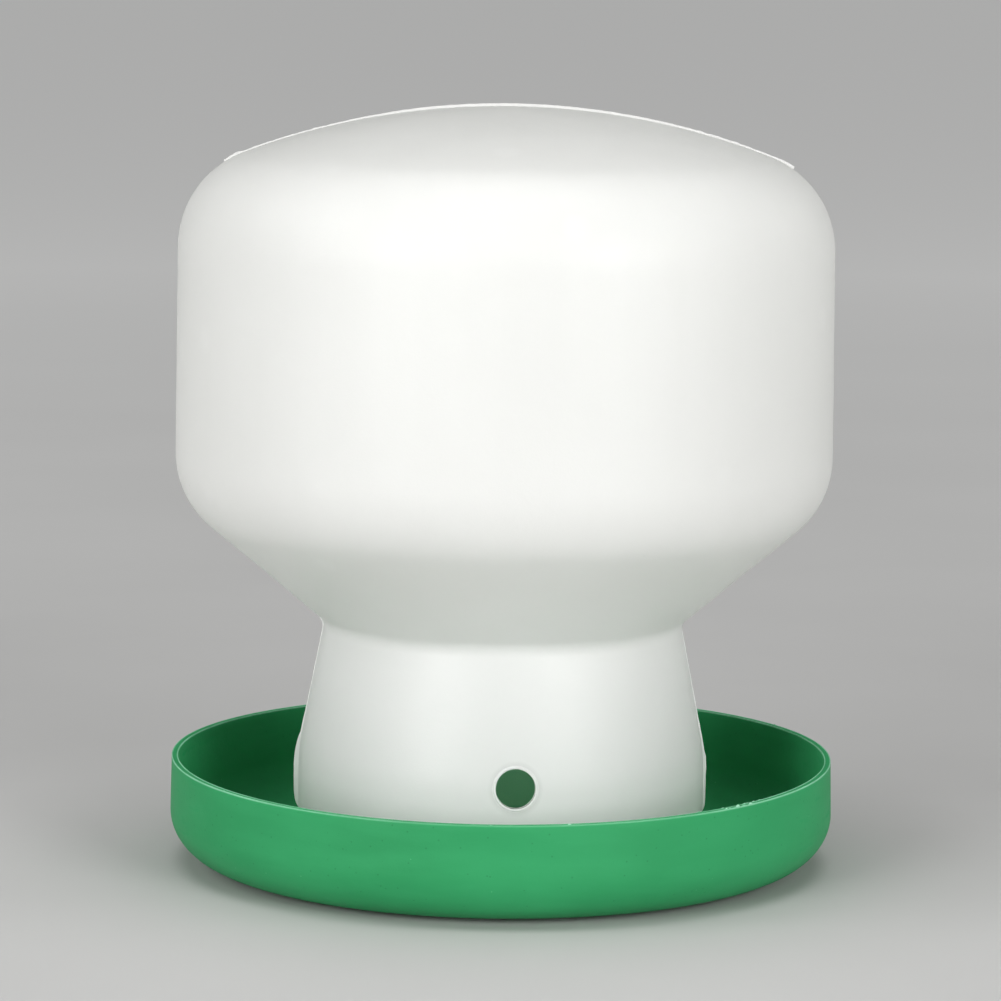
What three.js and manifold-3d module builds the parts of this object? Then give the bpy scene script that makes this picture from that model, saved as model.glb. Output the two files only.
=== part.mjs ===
// Poultry waterer: a white blow-moulded fount standing in a green drinking tray.
// Millimetres, +Z up. The origin is on the axis, level with the pads that the tray stands on, and the
// drinking hole faces -Y.
import * as THREE from 'three';
import { mergeVertices } from 'three/addons/utils/BufferGeometryUtils.js';
import Module from 'manifold-3d';

const wasm = await Module();
wasm.setup();

// ---- driving dimensions ----

const ROUND_SIDES = 64;              // facets round every turned shape

// low round pads under the tray's floor
const PAD_COUNT = 4;
const PAD_AZIMUTH = 45.0;
const PAD_CENTRE_R = 90.0;
const PAD_RADIUS = 6.0;
const PAD_HEIGHT = 1.0;
const PAD_ROOT = 1.0;                // how deep a pad is rooted in the floor
const PAD_SIDES = 24;

// fount: the outside of the shell, from the crown down to the foot
const FOUNT_WALL = 2.0;
const FOUNT_REST_Z = 16.3;           // underside of the foot, standing on the tray's lugs
const FOUNT_TOP_Z = 297.1;
const DOME_RADIUS = 289.0;
const SHOULDER_RADIUS = 38.4;
const BODY_RADIUS = 128.0;
const LOWER_SHOULDER_RADIUS = 35.6;
const CONE_SLOPE = 49.4;             // degrees from upright
const NECK_CORNER_R = 69.9;          // where the cone and the skirt would meet in a sharp corner
const NECK_CORNER_Z = 95.6;
const NECK_FILLET = 6.5;
const SKIRT_SLOPE = 11.0;            // degrees from upright
const SKIRT_RADIUS = 80.1;
const SKIRT_BLEND = 60.0;
const FOOT_ROUND = 6.0;
const MOUTH_RADIUS = 67.5;           // inner edge of the turned-in foot

// how many straight steps make each arc of the shell's outline
const DOME_STEPS = 6;
const SHOULDER_STEPS = 6;
const LOWER_SHOULDER_STEPS = 5;
const NECK_STEPS = 5;
const SKIRT_STEPS = 2;
const FOOT_STEPS = 4;

// pinch-off ridge that the mould leaves across the crown, along X
const RIDGE_PROUD = 1.0;
const RIDGE_ROOT = 1.0;              // how deep it is rooted in the wall
const RIDGE_THICKNESS = 1.6;
const RIDGE_END_ANGLE = 56.0;        // the surface normal's angle where the ridge ends on the shoulder
const RIDGE_SHOULDER_STEPS = 2;

// drinking hole
const HOLE_RADIUS = 7.5;
const HOLE_Z = 43.5;
const HOLE_AZIMUTH = -86.0;          // degrees from +X, so 4 degrees right of the front
const HOLE_SIDES = 24;

// bayonet: lugs on the tray's collar and the notches in the foot that pass over them
const BAYONET_COUNT = 3;
const LUG_AZIMUTH = 90.0;            // the first lug is at the back
const LUG_WIDTH = 24.0;              // degrees
const LUG_REACH = 72.5;              // radius of the lug's tip
const LUG_UNDERSIDE_Z = 9.0;
const LUG_TOP_Z = 16.0;
const NOTCH_AZIMUTH = 30.0;          // a third of the way from lug to lug, so the foot rests on the lugs
const NOTCH_WIDTH = 30.0;            // degrees
const NOTCH_REACH = 75.0;            // radius of the notch's outer edge
const SECTOR_STEPS = 6;

// tray: one pan with a collar standing on its floor
const TRAY_WALL = 2.5;               // the floor has the same thickness
const TRAY_RIM_Z = 40.9;
const TRAY_RIM_RADIUS = 130.0;
const TRAY_BULGE_RADIUS = 130.5;     // the wall swells slightly just above the bottom corner
const CORNER_HEIGHT = 19.5;          // of the round bottom corner, above the floor's underside
const CORNER_WIDTH = 22.3;
const COLLAR_RADIUS = 66.0;
const COLLAR_WALL = 2.5;
const COLLAR_TOP_Z = 23.0;
const CORNER_STEPS = 8;

const CUT_MARGIN = 2.0;              // how far a cutter runs past the wall it cuts
const LUG_ROOT = 1.2;                // how deep a lug is rooted in the collar's wall
const MERGE_TOLERANCE = 1e-4;        // points nearer than this are one corner

const RADIANS = Math.PI / 180;

// ---- outlines ----

// A stretch of the shell's outline: the outward normal turns from one angle to the other, in degrees, about
// a fixed centre. A hollow curve has a negative radius, so that moving inward by an inset is a subtraction
// for both kinds.
function arc(centre, radius, fromAngle, toAngle, steps) {
  return { centre, radius, fromAngle, toAngle, steps };
}

function arcPoints({ centre, radius, fromAngle, toAngle, steps }, inset) {
  const points = [];
  for (let step = 0; step <= steps; step += 1) {
    const angle = (fromAngle + (toAngle - fromAngle) * step / steps) * RADIANS;
    const reach = radius - inset;
    points.push(new THREE.Vector2(centre.x + reach * Math.cos(angle), centre.y + reach * Math.sin(angle)));
  }
  return points;
}

// Dome and shoulder, which touch inside one another
const domeCentre = new THREE.Vector2(0, FOUNT_TOP_Z - DOME_RADIUS);
const shoulderR = BODY_RADIUS - SHOULDER_RADIUS;
const shoulderRise = Math.sqrt((DOME_RADIUS - SHOULDER_RADIUS) ** 2 - shoulderR ** 2);
const shoulderCentre = new THREE.Vector2(shoulderR, domeCentre.y + shoulderRise);
const shoulderAngle = Math.atan2(shoulderRise, shoulderR) / RADIANS;

// Lower shoulder, between the body and the cone
const coneRise = (BODY_RADIUS - NECK_CORNER_R) / Math.tan(CONE_SLOPE * RADIANS);
const lowerCentre = new THREE.Vector2(
  BODY_RADIUS - LOWER_SHOULDER_RADIUS,
  NECK_CORNER_Z + coneRise + LOWER_SHOULDER_RADIUS * Math.tan(CONE_SLOPE * RADIANS / 2),
);

// Neck, between the cone and the skirt
const neckHalfTurn = (CONE_SLOPE + SKIRT_SLOPE) / 2;
const neckReach = NECK_FILLET / Math.cos(neckHalfTurn * RADIANS);
const neckAngle = (SKIRT_SLOPE - CONE_SLOPE) / 2;
const neckCentre = new THREE.Vector2(
  NECK_CORNER_R + neckReach * Math.cos(neckAngle * RADIANS),
  NECK_CORNER_Z + neckReach * Math.sin(neckAngle * RADIANS),
);

// Foot of the skirt, where it turns upright
const skirtDrop = (SKIRT_RADIUS - NECK_CORNER_R) / Math.tan(SKIRT_SLOPE * RADIANS);
const skirtCentre = new THREE.Vector2(
  SKIRT_RADIUS - SKIRT_BLEND,
  NECK_CORNER_Z - skirtDrop - SKIRT_BLEND * Math.tan(SKIRT_SLOPE * RADIANS / 2),
);
const footCentre = new THREE.Vector2(SKIRT_RADIUS - FOOT_ROUND, FOUNT_REST_Z + FOOT_ROUND);

const dome = arc(domeCentre, DOME_RADIUS, 90, shoulderAngle, DOME_STEPS);
const shoulder = arc(shoulderCentre, SHOULDER_RADIUS, shoulderAngle, 0, SHOULDER_STEPS);
const belowShoulder = [
  arc(lowerCentre, LOWER_SHOULDER_RADIUS, 0, -CONE_SLOPE, LOWER_SHOULDER_STEPS),
  arc(neckCentre, -NECK_FILLET, -CONE_SLOPE, SKIRT_SLOPE, NECK_STEPS),
  arc(skirtCentre, SKIRT_BLEND, SKIRT_SLOPE, 0, SKIRT_STEPS),
  arc(footCentre, FOOT_ROUND, 0, -90, FOOT_STEPS),
];

// The shell's outline from the crown to the mouth, at a depth below the outer surface.
// Straight stretches are the gaps between the arcs.
function shellOutline(inset) {
  const points = [...arcPoints(dome, inset), ...arcPoints(shoulder, inset).slice(1)];
  for (const stretch of belowShoulder) {
    points.push(...arcPoints(stretch, inset));
  }
  points[0].x = 0;
  points.push(new THREE.Vector2(MOUTH_RADIUS, FOUNT_REST_Z + inset));
  return points;
}

// ---- solids ----

// Turned shapes are revolved about Y by three.js and then stood up along Z
function turned(outline) {
  return new THREE.LatheGeometry(outline, ROUND_SIDES).rotateX(Math.PI / 2);
}

// A ring sector, flat, between two heights, centred on an azimuth in degrees
function ringSector(innerRadius, outerRadius, azimuth, width, bottomZ, topZ) {
  const outline = [];
  for (const [radius, direction] of [[innerRadius, 1], [outerRadius, -1]]) {
    for (let step = 0; step <= SECTOR_STEPS; step += 1) {
      const share = step / SECTOR_STEPS - 0.5;
      const angle = (azimuth + direction * share * width) * RADIANS;
      outline.push(new THREE.Vector2(radius * Math.cos(angle), radius * Math.sin(angle)));
    }
  }
  const shape = new THREE.Shape(outline);
  const sector = new THREE.ExtrudeGeometry(shape, { depth: topZ - bottomZ, bevelEnabled: false });
  return sector.translate(0, 0, bottomZ);
}

// Evenly spaced azimuths in degrees
function azimuthsFrom(firstAzimuth, count) {
  return Array.from({ length: count }, (_, index) => firstAzimuth + index * 360 / count);
}

// A closed geometry as a manifold solid. Triangles that shrink to a line on the axis are left out.
function toSolid(geometry) {
  geometry.deleteAttribute('normal');
  geometry.deleteAttribute('uv');
  const merged = mergeVertices(geometry, MERGE_TOLERANCE);
  const corners = merged.index.array;
  const triVerts = [];
  for (let i = 0; i < corners.length; i += 3) {
    const [a, b, c] = [corners[i], corners[i + 1], corners[i + 2]];
    if (a !== b && b !== c && c !== a) {
      triVerts.push(a, b, c);
    }
  }
  return new wasm.Manifold(new wasm.Mesh({
    numProp: 3,
    vertProperties: new Float32Array(merged.attributes.position.array),
    triVerts: new Uint32Array(triVerts),
  }));
}

function toGeometry(solid) {
  const { vertProperties, triVerts } = solid.getMesh();
  const geometry = new THREE.BufferGeometry();
  geometry.setAttribute('position', new THREE.BufferAttribute(vertProperties, 3));
  geometry.setIndex(new THREE.BufferAttribute(triVerts, 1));
  geometry.computeVertexNormals();
  return geometry;
}

function fountShell() {
  const outer = shellOutline(0);
  const inner = shellOutline(FOUNT_WALL).reverse();
  return toSolid(turned([...outer, ...inner].reverse()));
}

// The ridge is a thin plate in the XZ plane that follows the crown from one shoulder to the other
function pinchRidge() {
  const steps = RIDGE_SHOULDER_STEPS;
  const shoulderPart = arc(shoulderCentre, SHOULDER_RADIUS, shoulderAngle, RIDGE_END_ANGLE, steps);
  const right = inset => [...arcPoints(dome, inset), ...arcPoints(shoulderPart, inset).slice(1)];
  const across = inset => {
    const half = right(inset);
    const mirrored = half.slice(1).map(point => new THREE.Vector2(-point.x, point.y)).reverse();
    return [...mirrored, ...half];
  };
  const outline = [...across(-RIDGE_PROUD), ...across(RIDGE_ROOT).reverse()];
  const plate = new THREE.ExtrudeGeometry(new THREE.Shape(outline), {
    depth: RIDGE_THICKNESS,
    bevelEnabled: false,
  });
  return toSolid(plate.translate(0, 0, -RIDGE_THICKNESS / 2).rotateX(Math.PI / 2));
}

// A short round bar across the skirt's wall, along the hole's own direction
function holeCutter() {
  const length = FOUNT_WALL + 4 * CUT_MARGIN;
  const distance = SKIRT_RADIUS - FOUNT_WALL / 2;
  const bar = new THREE.CylinderGeometry(HOLE_RADIUS, HOLE_RADIUS, length, HOLE_SIDES);
  bar.rotateZ(-Math.PI / 2).translate(distance, 0, 0);
  return toSolid(bar.rotateZ(HOLE_AZIMUTH * RADIANS).translate(0, 0, HOLE_Z));
}

function notchCutter(azimuth) {
  const bottomZ = FOUNT_REST_Z - CUT_MARGIN;
  const topZ = FOUNT_REST_Z + FOUNT_WALL + CUT_MARGIN;
  return toSolid(ringSector(MOUTH_RADIUS - CUT_MARGIN, NOTCH_REACH, azimuth, NOTCH_WIDTH, bottomZ, topZ));
}

function makeFount() {
  let fount = fountShell().add(pinchRidge()).subtract(holeCutter());
  for (const azimuth of azimuthsFrom(NOTCH_AZIMUTH, BAYONET_COUNT)) {
    fount = fount.subtract(notchCutter(azimuth));
  }
  return toGeometry(fount);
}

// A quarter of an ellipse from the flat bottom out and up to the upright wall
function cornerPoints(inset) {
  const flatRadius = TRAY_BULGE_RADIUS - CORNER_WIDTH;
  const points = [];
  for (let step = 0; step <= CORNER_STEPS; step += 1) {
    const angle = (step / CORNER_STEPS) * Math.PI / 2;
    const reach = (CORNER_WIDTH - inset) * Math.sin(angle);
    const drop = (CORNER_HEIGHT - inset) * Math.cos(angle);
    points.push(new THREE.Vector2(flatRadius + reach, PAD_HEIGHT + CORNER_HEIGHT - drop));
  }
  return points;
}

function trayPan() {
  const collarInside = COLLAR_RADIUS - COLLAR_WALL;
  const floorZ = PAD_HEIGHT + TRAY_WALL;
  const outline = [
    new THREE.Vector2(0, PAD_HEIGHT),
    ...cornerPoints(0),
    new THREE.Vector2(TRAY_RIM_RADIUS, TRAY_RIM_Z),
    new THREE.Vector2(TRAY_RIM_RADIUS - TRAY_WALL, TRAY_RIM_Z),
    ...cornerPoints(TRAY_WALL).reverse(),
    new THREE.Vector2(COLLAR_RADIUS, floorZ),
    new THREE.Vector2(COLLAR_RADIUS, COLLAR_TOP_Z),
    new THREE.Vector2(collarInside, COLLAR_TOP_Z),
    new THREE.Vector2(collarInside, floorZ),
    new THREE.Vector2(0, floorZ),
  ];
  return toSolid(turned(outline));
}

function lug(azimuth) {
  const root = COLLAR_RADIUS - LUG_ROOT;
  return toSolid(ringSector(root, LUG_REACH, azimuth, LUG_WIDTH, LUG_UNDERSIDE_Z, LUG_TOP_Z));
}

function pad(azimuth) {
  const height = PAD_HEIGHT + PAD_ROOT;
  const disc = new THREE.CylinderGeometry(PAD_RADIUS, PAD_RADIUS, height, PAD_SIDES).rotateX(Math.PI / 2);
  return toSolid(disc.translate(PAD_CENTRE_R, 0, height / 2).rotateZ(azimuth * RADIANS));
}

function makeTray() {
  let tray = trayPan();
  for (const azimuth of azimuthsFrom(LUG_AZIMUTH, BAYONET_COUNT)) {
    tray = tray.add(lug(azimuth));
  }
  for (const azimuth of azimuthsFrom(PAD_AZIMUTH, PAD_COUNT)) {
    tray = tray.add(pad(azimuth));
  }
  return toGeometry(tray);
}

// ---- scene graph ----

const whitePolyethylene = new THREE.MeshStandardMaterial({ color: '#e9eae6', roughness: 0.45, metalness: 0 });
const greenPolyethylene = new THREE.MeshStandardMaterial({ color: '#3fae72', roughness: 0.42, metalness: 0 });

const fount = new THREE.Mesh(makeFount(), whitePolyethylene);
fount.name = 'fount';

const tray = new THREE.Mesh(makeTray(), greenPolyethylene);
tray.name = 'tray';

const waterer = new THREE.Group();
waterer.add(tray, fount);

export default waterer;
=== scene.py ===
# Looks of the poultry waterer: a translucent white fount standing in a green tray, on a pale floor.
import math

import bmesh
import bpy
from mathutils import Matrix, Vector, noise


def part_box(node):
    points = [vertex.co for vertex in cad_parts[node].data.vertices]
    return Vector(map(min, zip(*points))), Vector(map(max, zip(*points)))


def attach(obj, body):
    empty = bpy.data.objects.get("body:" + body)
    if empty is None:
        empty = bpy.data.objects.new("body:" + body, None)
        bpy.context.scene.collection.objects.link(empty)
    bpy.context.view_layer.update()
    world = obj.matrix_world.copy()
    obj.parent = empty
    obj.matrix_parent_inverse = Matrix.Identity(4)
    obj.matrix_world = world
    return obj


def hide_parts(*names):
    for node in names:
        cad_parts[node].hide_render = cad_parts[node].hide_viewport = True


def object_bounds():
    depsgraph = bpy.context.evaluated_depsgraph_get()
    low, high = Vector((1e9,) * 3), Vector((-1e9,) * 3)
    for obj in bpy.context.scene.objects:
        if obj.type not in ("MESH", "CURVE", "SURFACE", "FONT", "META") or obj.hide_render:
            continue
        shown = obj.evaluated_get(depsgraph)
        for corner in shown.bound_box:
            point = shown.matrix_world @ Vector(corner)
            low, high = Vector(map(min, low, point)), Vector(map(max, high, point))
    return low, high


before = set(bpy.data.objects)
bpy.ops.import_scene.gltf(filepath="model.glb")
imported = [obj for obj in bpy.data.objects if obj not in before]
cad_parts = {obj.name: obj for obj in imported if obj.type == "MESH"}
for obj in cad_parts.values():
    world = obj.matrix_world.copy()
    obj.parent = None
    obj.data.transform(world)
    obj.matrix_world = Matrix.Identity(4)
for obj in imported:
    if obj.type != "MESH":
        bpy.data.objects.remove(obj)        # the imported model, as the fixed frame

cad_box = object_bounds()

MM = 0.001                      # outlines and details are in millimetres, objects in metres
SAME_POINT = 1e-6               # millimetres
SHARP_ANGLE = 32.0              # edges sharper than this stay crisp, in degrees

fount_low, fount_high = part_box("fount")
tray_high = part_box("tray")[1]

# ---- fount, in millimetres ----

WALL = 2.0
CAD_RIDGE = 1.0                 # the CAD model's ridge stands this far above the dome
BODY_RADIUS = fount_high.x / MM
TOP_Z = fount_high.z / MM - CAD_RIDGE
FOOT_Z = fount_low.z / MM
DOME_RADIUS = 289.0
SHOULDER_RADIUS = 38.4
LOWER_SHOULDER_RADIUS = 35.6
CONE_SLOPE = 49.4               # degrees from upright
NECK_CORNER_R = 69.9
NECK_CORNER_Z = 95.6
NECK_FILLET = 6.5
SKIRT_SLOPE = 11.0              # degrees from upright
SKIRT_RADIUS = 80.1
SKIRT_BLEND = 60.0
FOOT_ROUND = 6.0
MOUTH_RADIUS = 67.5
FOUNT_COLUMNS = 288
POINT_SPACING = 3.2             # longest step along a straight stretch of an outline

# straight steps in each arc of the fount's outline
DOME_STEPS = 36
SHOULDER_STEPS = 18
LOWER_SHOULDER_STEPS = 14
NECK_STEPS = 10
SKIRT_STEPS = 5
FOOT_STEPS = 8

HOLE_RADIUS = 7.5
HOLE_Z = 43.5
HOLE_AZIMUTH = math.radians(-86.0)
HOLE_SIDES = 72
HOLE_CUT_REACH = 8.0            # how far the cutter runs past the skirt's radius, both ways

# ---- tray, in millimetres ----

RIM_RADIUS = 130.0
BULGE_RADIUS = tray_high.x / MM
RIM_Z = tray_high.z / MM
PAD_HEIGHT = 1.0                # the tray stands on low pads, with its underside this far above the ground
TRAY_WALL = 2.5                 # the floor has the same thickness
FLOOR_Z = PAD_HEIGHT + TRAY_WALL
CORNER_HEIGHT = 19.5            # of the round bottom corner, above the underside
CORNER_WIDTH = 22.3
CORNER_STEPS = 24
COLLAR_RADIUS = 66.0
COLLAR_WALL = 2.5
COLLAR_TOP_Z = 23.0
COLLAR_FILLET = 1.2             # where the collar meets the floor
COLLAR_FILLET_MIDDLE = 0.3      # how far the middle of the fillet is from both faces
COLLAR_EDGE = 0.5               # chamfer of the collar's upper edges
TRAY_COLUMNS = 900

PAD_COUNT = 4
PAD_AZIMUTH = 45.0
PAD_CENTRE_R = 90.0
PAD_RADIUS = 6.0
PAD_ROOT = 1.0
PAD_SIDES = 48
PAD_EDGE = 0.25                 # chamfer of a pad's lower edge

# bayonet lugs and notches, three of each
BAYONET_COUNT = 3
LUG_AZIMUTH = 90.0
LUG_WIDTH = 24.0
LUG_REACH = 72.5
LUG_UNDERSIDE_Z = 9.0
LUG_TOP_Z = 16.0
LUG_ROOT = 1.2
NOTCH_AZIMUTH = 30.0
NOTCH_WIDTH = 30.0
NOTCH_REACH = 75.0
CUT_MARGIN = 2.0
SECTOR_STEPS = 24


# ---- camera ----

CAMERA_PLACE = (-0.0013, -1.6346, 0.3608)
CAMERA_DIP = 7.6                # degrees below level
CAMERA_ROLL = 0.6               # degrees, so the waterer leans slightly clockwise
CAMERA_SENSOR = 36.0            # sensor width and lens in millimetres
CAMERA_LENS = 151.05
CAMERA_NEAR = 0.05
CAMERA_FAR = 200.0


def make_camera():
    """The camera stands in front and a little above."""
    data = bpy.data.cameras.new("camera")
    data.sensor_width = CAMERA_SENSOR
    data.lens = CAMERA_LENS
    data.clip_start = CAMERA_NEAR
    data.clip_end = CAMERA_FAR
    camera = bpy.data.objects.new("camera", data)
    camera.location = CAMERA_PLACE
    pitch = Matrix.Rotation(math.radians(90.0 - CAMERA_DIP), 4, "X")
    roll = Matrix.Rotation(math.radians(CAMERA_ROLL), 4, "Z")
    camera.matrix_world = Matrix.Translation(camera.location) @ pitch @ roll
    bpy.context.scene.collection.objects.link(camera)
    bpy.context.scene.camera = camera


# ---- outlines ----

def arc_points(centre, radius, start, end, steps, inset):
    """Points of an arc given by its outward normal's angles in degrees. A hollow arc's radius is negative."""
    points = []
    for step in range(steps + 1):
        angle = math.radians(start + (end - start) * step / steps)
        reach = radius - inset
        points.append((centre[0] + reach * math.cos(angle), centre[1] + reach * math.sin(angle)))
    return points


def fount_arcs():
    """The fount's arcs from crown to foot, each as centre, radius, first and last angle, and steps."""
    dome = (0.0, TOP_Z - DOME_RADIUS)
    shoulder_r = BODY_RADIUS - SHOULDER_RADIUS
    rise = math.sqrt((DOME_RADIUS - SHOULDER_RADIUS) ** 2 - shoulder_r ** 2)
    shoulder = (shoulder_r, dome[1] + rise)
    shoulder_angle = math.degrees(math.atan2(rise, shoulder_r))
    cone = math.radians(CONE_SLOPE)
    cone_rise = (BODY_RADIUS - NECK_CORNER_R) / math.tan(cone)
    lower_z = NECK_CORNER_Z + cone_rise + LOWER_SHOULDER_RADIUS * math.tan(cone / 2)
    lower = (BODY_RADIUS - LOWER_SHOULDER_RADIUS, lower_z)
    neck_reach = NECK_FILLET / math.cos(math.radians((CONE_SLOPE + SKIRT_SLOPE) / 2))
    neck_angle = math.radians((SKIRT_SLOPE - CONE_SLOPE) / 2)
    neck = (
        NECK_CORNER_R + neck_reach * math.cos(neck_angle),
        NECK_CORNER_Z + neck_reach * math.sin(neck_angle),
    )
    skirt = math.radians(SKIRT_SLOPE)
    skirt_drop = (SKIRT_RADIUS - NECK_CORNER_R) / math.tan(skirt)
    band_z = NECK_CORNER_Z - skirt_drop - SKIRT_BLEND * math.tan(skirt / 2)
    band = (SKIRT_RADIUS - SKIRT_BLEND, band_z)
    foot = (SKIRT_RADIUS - FOOT_ROUND, FOOT_Z + FOOT_ROUND)
    return {
        "dome": (dome, DOME_RADIUS, 90.0, shoulder_angle, DOME_STEPS),
        "shoulder": (shoulder, SHOULDER_RADIUS, shoulder_angle, 0.0, SHOULDER_STEPS),
        "lower": (lower, LOWER_SHOULDER_RADIUS, 0.0, -CONE_SLOPE, LOWER_SHOULDER_STEPS),
        "neck": (neck, -NECK_FILLET, -CONE_SLOPE, SKIRT_SLOPE, NECK_STEPS),
        "band": (band, SKIRT_BLEND, SKIRT_SLOPE, 0.0, SKIRT_STEPS),
        "foot": (foot, FOOT_ROUND, 0.0, -90.0, FOOT_STEPS),
    }


def spaced(points):
    """The same outline with extra points, so that no step is longer than POINT_SPACING."""
    result = [points[0]]
    for a, b in zip(points, points[1:]):
        length = math.dist(a, b)
        if length < SAME_POINT:
            continue
        count = max(1, math.ceil(length / POINT_SPACING))
        for k in range(1, count + 1):
            share = k / count
            result.append((a[0] + (b[0] - a[0]) * share, a[1] + (b[1] - a[1]) * share))
    return result


def fount_side(inset):
    """The outline at a depth below the outer surface, from the crown to the mouth."""
    points = []
    for stretch in fount_arcs().values():
        points.extend(arc_points(*stretch, inset))
    points[0] = (0.0, points[0][1])
    points.append((MOUTH_RADIUS, FOOT_Z + inset))
    return spaced(points)


def outer_radius_at(z):
    """The fount's outer radius at a height on the skirt, neck or cone, by looking it up on the outline."""
    side = fount_side(0.0)
    for (r0, z0), (r1, z1) in zip(side, side[1:]):
        if z1 <= z <= z0 and z0 > z1:
            return r0 + (r1 - r0) * (z0 - z) / (z0 - z1)
    return side[-1][0]


# ---- mesh helpers ----

def new_object(name, vertices, faces):
    """A mesh object from vertices in millimetres."""
    mesh = bpy.data.meshes.new(name)
    mesh.from_pydata([(x * MM, y * MM, z * MM) for x, y, z in vertices], [], faces)
    mesh.update()
    made = bpy.data.objects.new(name, mesh)
    bpy.context.scene.collection.objects.link(made)
    return made


def revolve(name, outline, columns, move):
    """Turns an outline whose ends lie on the axis. move(r, z, azimuth) gives each point's final r and z."""
    vertices = []
    rows = []
    for r, z in outline:
        if r < SAME_POINT:
            _, moved_z = move(0.0, z, 0.0)
            rows.append([len(vertices)] * columns)
            vertices.append((0.0, 0.0, moved_z))
            continue
        rows.append(list(range(len(vertices), len(vertices) + columns)))
        for column in range(columns):
            azimuth = 2 * math.pi * column / columns
            moved_r, moved_z = move(r, z, azimuth)
            vertices.append((moved_r * math.cos(azimuth), moved_r * math.sin(azimuth), moved_z))
    faces = []
    for upper, lower in zip(rows, rows[1:]):
        for column in range(columns):
            beside = (column + 1) % columns
            corners = (upper[column], lower[column], lower[beside], upper[beside])
            faces.append(tuple(dict.fromkeys(corners)))
    return new_object(name, vertices, faces)


def loft(name, sections):
    """A closed solid through sections that all have the same number of points, with flat ends."""
    count = len(sections[0])
    vertices = [point for section in sections for point in section]
    faces = [tuple(range(count))[::-1]]
    for index in range(len(sections) - 1):
        here, there = index * count, (index + 1) * count
        for k in range(count):
            following = (k + 1) % count
            faces.append((here + k, here + following, there + following, there + k))
    last = (len(sections) - 1) * count
    faces.append(tuple(range(last, last + count)))
    made = new_object(name, vertices, faces)
    face_outward(made)
    return made


def face_outward(piece):
    """Turns the faces of a closed solid outward."""
    work = bmesh.new()
    work.from_mesh(piece.data)
    bmesh.ops.recalc_face_normals(work, faces=work.faces)
    work.to_mesh(piece.data)
    work.free()


def combine(piece, others, operation):
    """Joins the other solids to a piece, or cuts them from it, and deletes them."""
    for other in others:
        modifier = piece.modifiers.new(operation.lower(), "BOOLEAN")
        modifier.operation = operation
        modifier.solver = "EXACT"
        modifier.object = other
    shape = bpy.data.meshes.new_from_object(piece.evaluated_get(bpy.context.evaluated_depsgraph_get()))
    piece.modifiers.clear()
    piece.data = shape
    for other in others:
        bpy.data.objects.remove(other, do_unlink=True)


def smooth(piece, sharp_angle):
    """Smooth shading, with the edges sharper than an angle kept crisp."""
    for polygon in piece.data.polygons:
        polygon.use_smooth = True
    piece.data.set_sharp_from_angle(angle=math.radians(sharp_angle))


def ring_sector(name, inner, outer, azimuth, width, low, high):
    """A flat block between two radii, centred on an azimuth in degrees."""
    sections = []
    for step in range(SECTOR_STEPS + 1):
        angle = math.radians(azimuth + (step / SECTOR_STEPS - 0.5) * width)
        corners = ((inner, low), (outer, low), (outer, high), (inner, high))
        sections.append([(r * math.cos(angle), r * math.sin(angle), z) for r, z in corners])
    return loft(name, sections)


def bayonet_azimuths(first):
    """The evenly spaced azimuths, in degrees, of the lugs or of the notches."""
    return [first + index * 360.0 / BAYONET_COUNT for index in range(BAYONET_COUNT)]


# ---- fount ----

WAVE = 0.22                     # unevenness of the blown wall
WAVE_SIZE = 70.0
FINE_WAVE_SHARE = 0.3           # a second wave has this share of the height, and is this much finer
FINE_WAVE_SCALE = 2.7
WAVE_FULL_R = 40.0              # the wave fades out from here to the axis
TAPER = 0.0075                  # how much the body widens for each millimetre downwards
TAPER_Z = 207.0                 # the height where it has its true radius
TAPER_START_R = 95.0            # only the body tapers, and this is where that begins
TAPER_FADE = 20.0


def fount_move(r, z, azimuth):
    """The slight unevenness and taper of the blow-moulded wall, the same on both faces of the wall."""
    place = Vector((r * math.cos(azimuth), r * math.sin(azimuth), z)) / WAVE_SIZE
    wave = WAVE * noise.noise(place) + FINE_WAVE_SHARE * WAVE * noise.noise(place * FINE_WAVE_SCALE)
    fade = min(1.0, r / WAVE_FULL_R)
    taper = TAPER * (TAPER_Z - z) * min(1.0, max(0.0, (r - TAPER_START_R) / TAPER_FADE))
    return r + wave * fade + taper, z


# How far the pinch-off ridge stands up along its length, as (share of the half length, millimetres)
RIDGE_LEFT = (
    (0.0, 1.0), (0.3, 0.95), (0.45, 0.7), (0.6, 0.5), (0.8, 0.45),
    (0.90, 0.5), (0.93, 0.25), (0.95, 0.85), (1.0, 0.45),
)
RIDGE_RIGHT = ((0.0, 1.0), (0.55, 0.85), (0.80, 0.75), (0.90, 0.6), (1.0, 0.9))
RIDGE_LEFT_END = 58.0           # the shoulder's normal has these angles where the ridge ends
RIDGE_RIGHT_END = 56.0
RIDGE_ROOT = 1.2
RIDGE_HALF_WIDTH = 0.8
RIDGE_TOP_HALF_WIDTH = 0.4
RIDGE_FLAT_HALF_WIDTH = 0.2     # of the flat in the middle of its top
RIDGE_BEVEL = 0.15              # drop from the flat to the edges
RIDGE_RAGGED = 0.22             # unevenness of its height, and the length of one bump
RIDGE_RAGGED_LENGTH = 2.3
RIDGE_RAGGED_MIDDLE = 0.4       # share of the unevenness that is left in the middle
RIDGE_SWAY = 0.12               # how far it wanders to the sides, and the length of one bend
RIDGE_SWAY_LENGTH = 9.0
RAGGED_SEED = (4.0, 1.0)
SWAY_SEED = (9.0, 2.0)
RIDGE_DOME_STEPS = 120
RIDGE_SHOULDER_STEPS = 16


def interpolate(table, x):
    """The value at x of a table of (x, value) pairs."""
    for (x0, y0), (x1, y1) in zip(table, table[1:]):
        if x <= x1:
            return y0 + (y1 - y0) * (x - x0) / (x1 - x0)
    return table[-1][1]


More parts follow.
